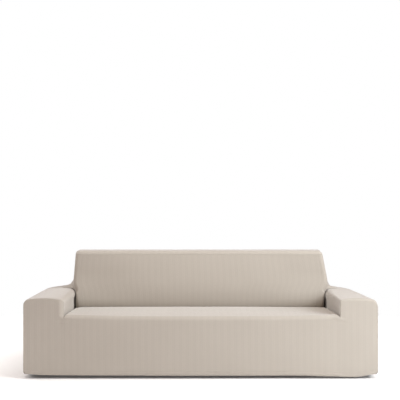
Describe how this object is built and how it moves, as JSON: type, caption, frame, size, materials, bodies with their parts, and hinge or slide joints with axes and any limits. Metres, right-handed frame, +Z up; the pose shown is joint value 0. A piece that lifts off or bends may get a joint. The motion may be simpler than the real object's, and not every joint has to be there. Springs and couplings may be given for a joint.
{
  "type": "fitted sofa slipcover",
  "caption": "Fitted one-piece stretch cover for a wide low sofa with arms: hollow underneath, closed over the seat, arms and back, with a plain turned hem.",
  "frame": {"origin": "middle of the cover's width and depth, at the lowest point of its hem", "axes": "+X to the right along the sofa's width as seen from the front, +Y from the front to the back, +Z up"},
  "size_m": [2.4, 0.9, 0.8175],
  "materials": {
    "cover_cloth": "matte pale taupe stretch knit with faint upright ribs"
  },
  "bodies": {
    "root": {"seat_panel": "cover_cloth", "arm_panel_left": "cover_cloth", "arm_panel_right": "cover_cloth", "arm_front_left": "cover_cloth", "arm_front_right": "cover_cloth", "inside_back": "cover_cloth", "back_gusset_left": "cover_cloth", "back_gusset_right": "cover_cloth", "outside_back": "cover_cloth"}
  },
  "joints": []
}
